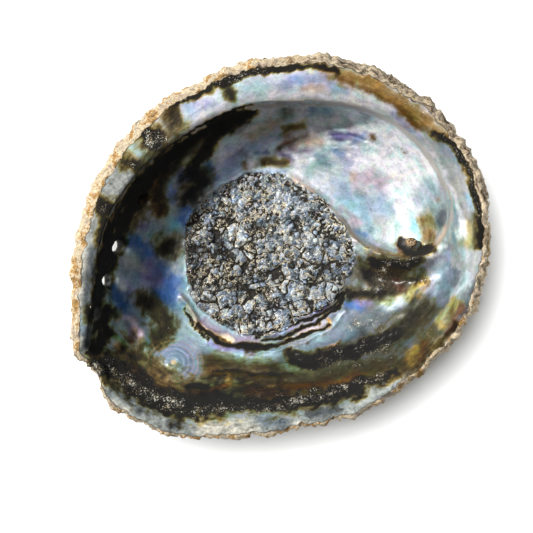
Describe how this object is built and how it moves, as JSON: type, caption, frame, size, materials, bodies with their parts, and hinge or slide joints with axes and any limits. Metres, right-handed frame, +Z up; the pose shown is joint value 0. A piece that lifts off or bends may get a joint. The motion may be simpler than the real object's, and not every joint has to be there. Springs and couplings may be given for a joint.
{
  "type": "abalone shell",
  "caption": "Empty ear-shaped sea shell lying aperture up, with a pearly bowl, a shelf along its inner margin, a coiled spire and a pebbled muscle scar.",
  "frame": {"origin": "centre of the small worn flat on the crown of the dome, which the shell rests on", "axes": "+Z up, out of the aperture; +X from the open front end to the spire, along the shell's length; +Y from the outer lip to the columellar side"},
  "size_m": [0.1649, 0.1508, 0.0452],
  "materials": {
    "nacre": "pearly nacre inside, blue, lavender and olive, with a rough chalky outer layer",
    "grit": "rusty, granular and dull"
  },
  "bodies": {
    "root": {"shell": "nacre", "spire_grit": "grit"}
  },
  "joints": []
}
